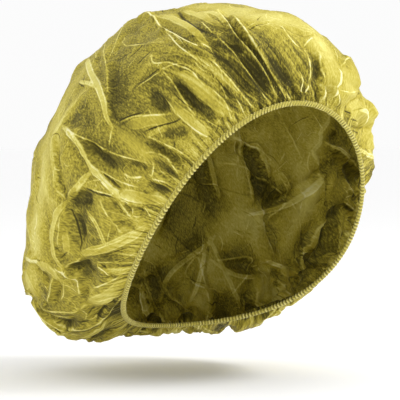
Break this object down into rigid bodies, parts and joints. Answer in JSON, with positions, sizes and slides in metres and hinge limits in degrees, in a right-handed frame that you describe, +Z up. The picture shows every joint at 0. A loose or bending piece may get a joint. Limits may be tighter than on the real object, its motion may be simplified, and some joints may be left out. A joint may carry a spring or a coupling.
{
  "type": "disposable hair cover cap",
  "caption": "Light bouffant cap of gathered non-woven cloth, full at the crown and nape, with a narrow elastic hem round the head opening, held in the form it takes when worn.",
  "frame": {"origin": "centre of the head opening, half way between its forehead and nape ends", "axes": "+Z up with the wearer's head level, the forehead towards -Y and the nape towards +Y, +X towards the wearer's left"},
  "size_m": [0.2315, 0.268, 0.2341],
  "materials": {
    "nonwoven_cloth": "thin yellow spun-bonded non-woven, crisp and slightly see-through",
    "gathered_edge": "the same cloth turned over an elastic and gathered into fine pleats"
  },
  "bodies": {
    "root": {"cap_bag": "nonwoven_cloth", "elastic_hem": "gathered_edge"}
  },
  "joints": []
}
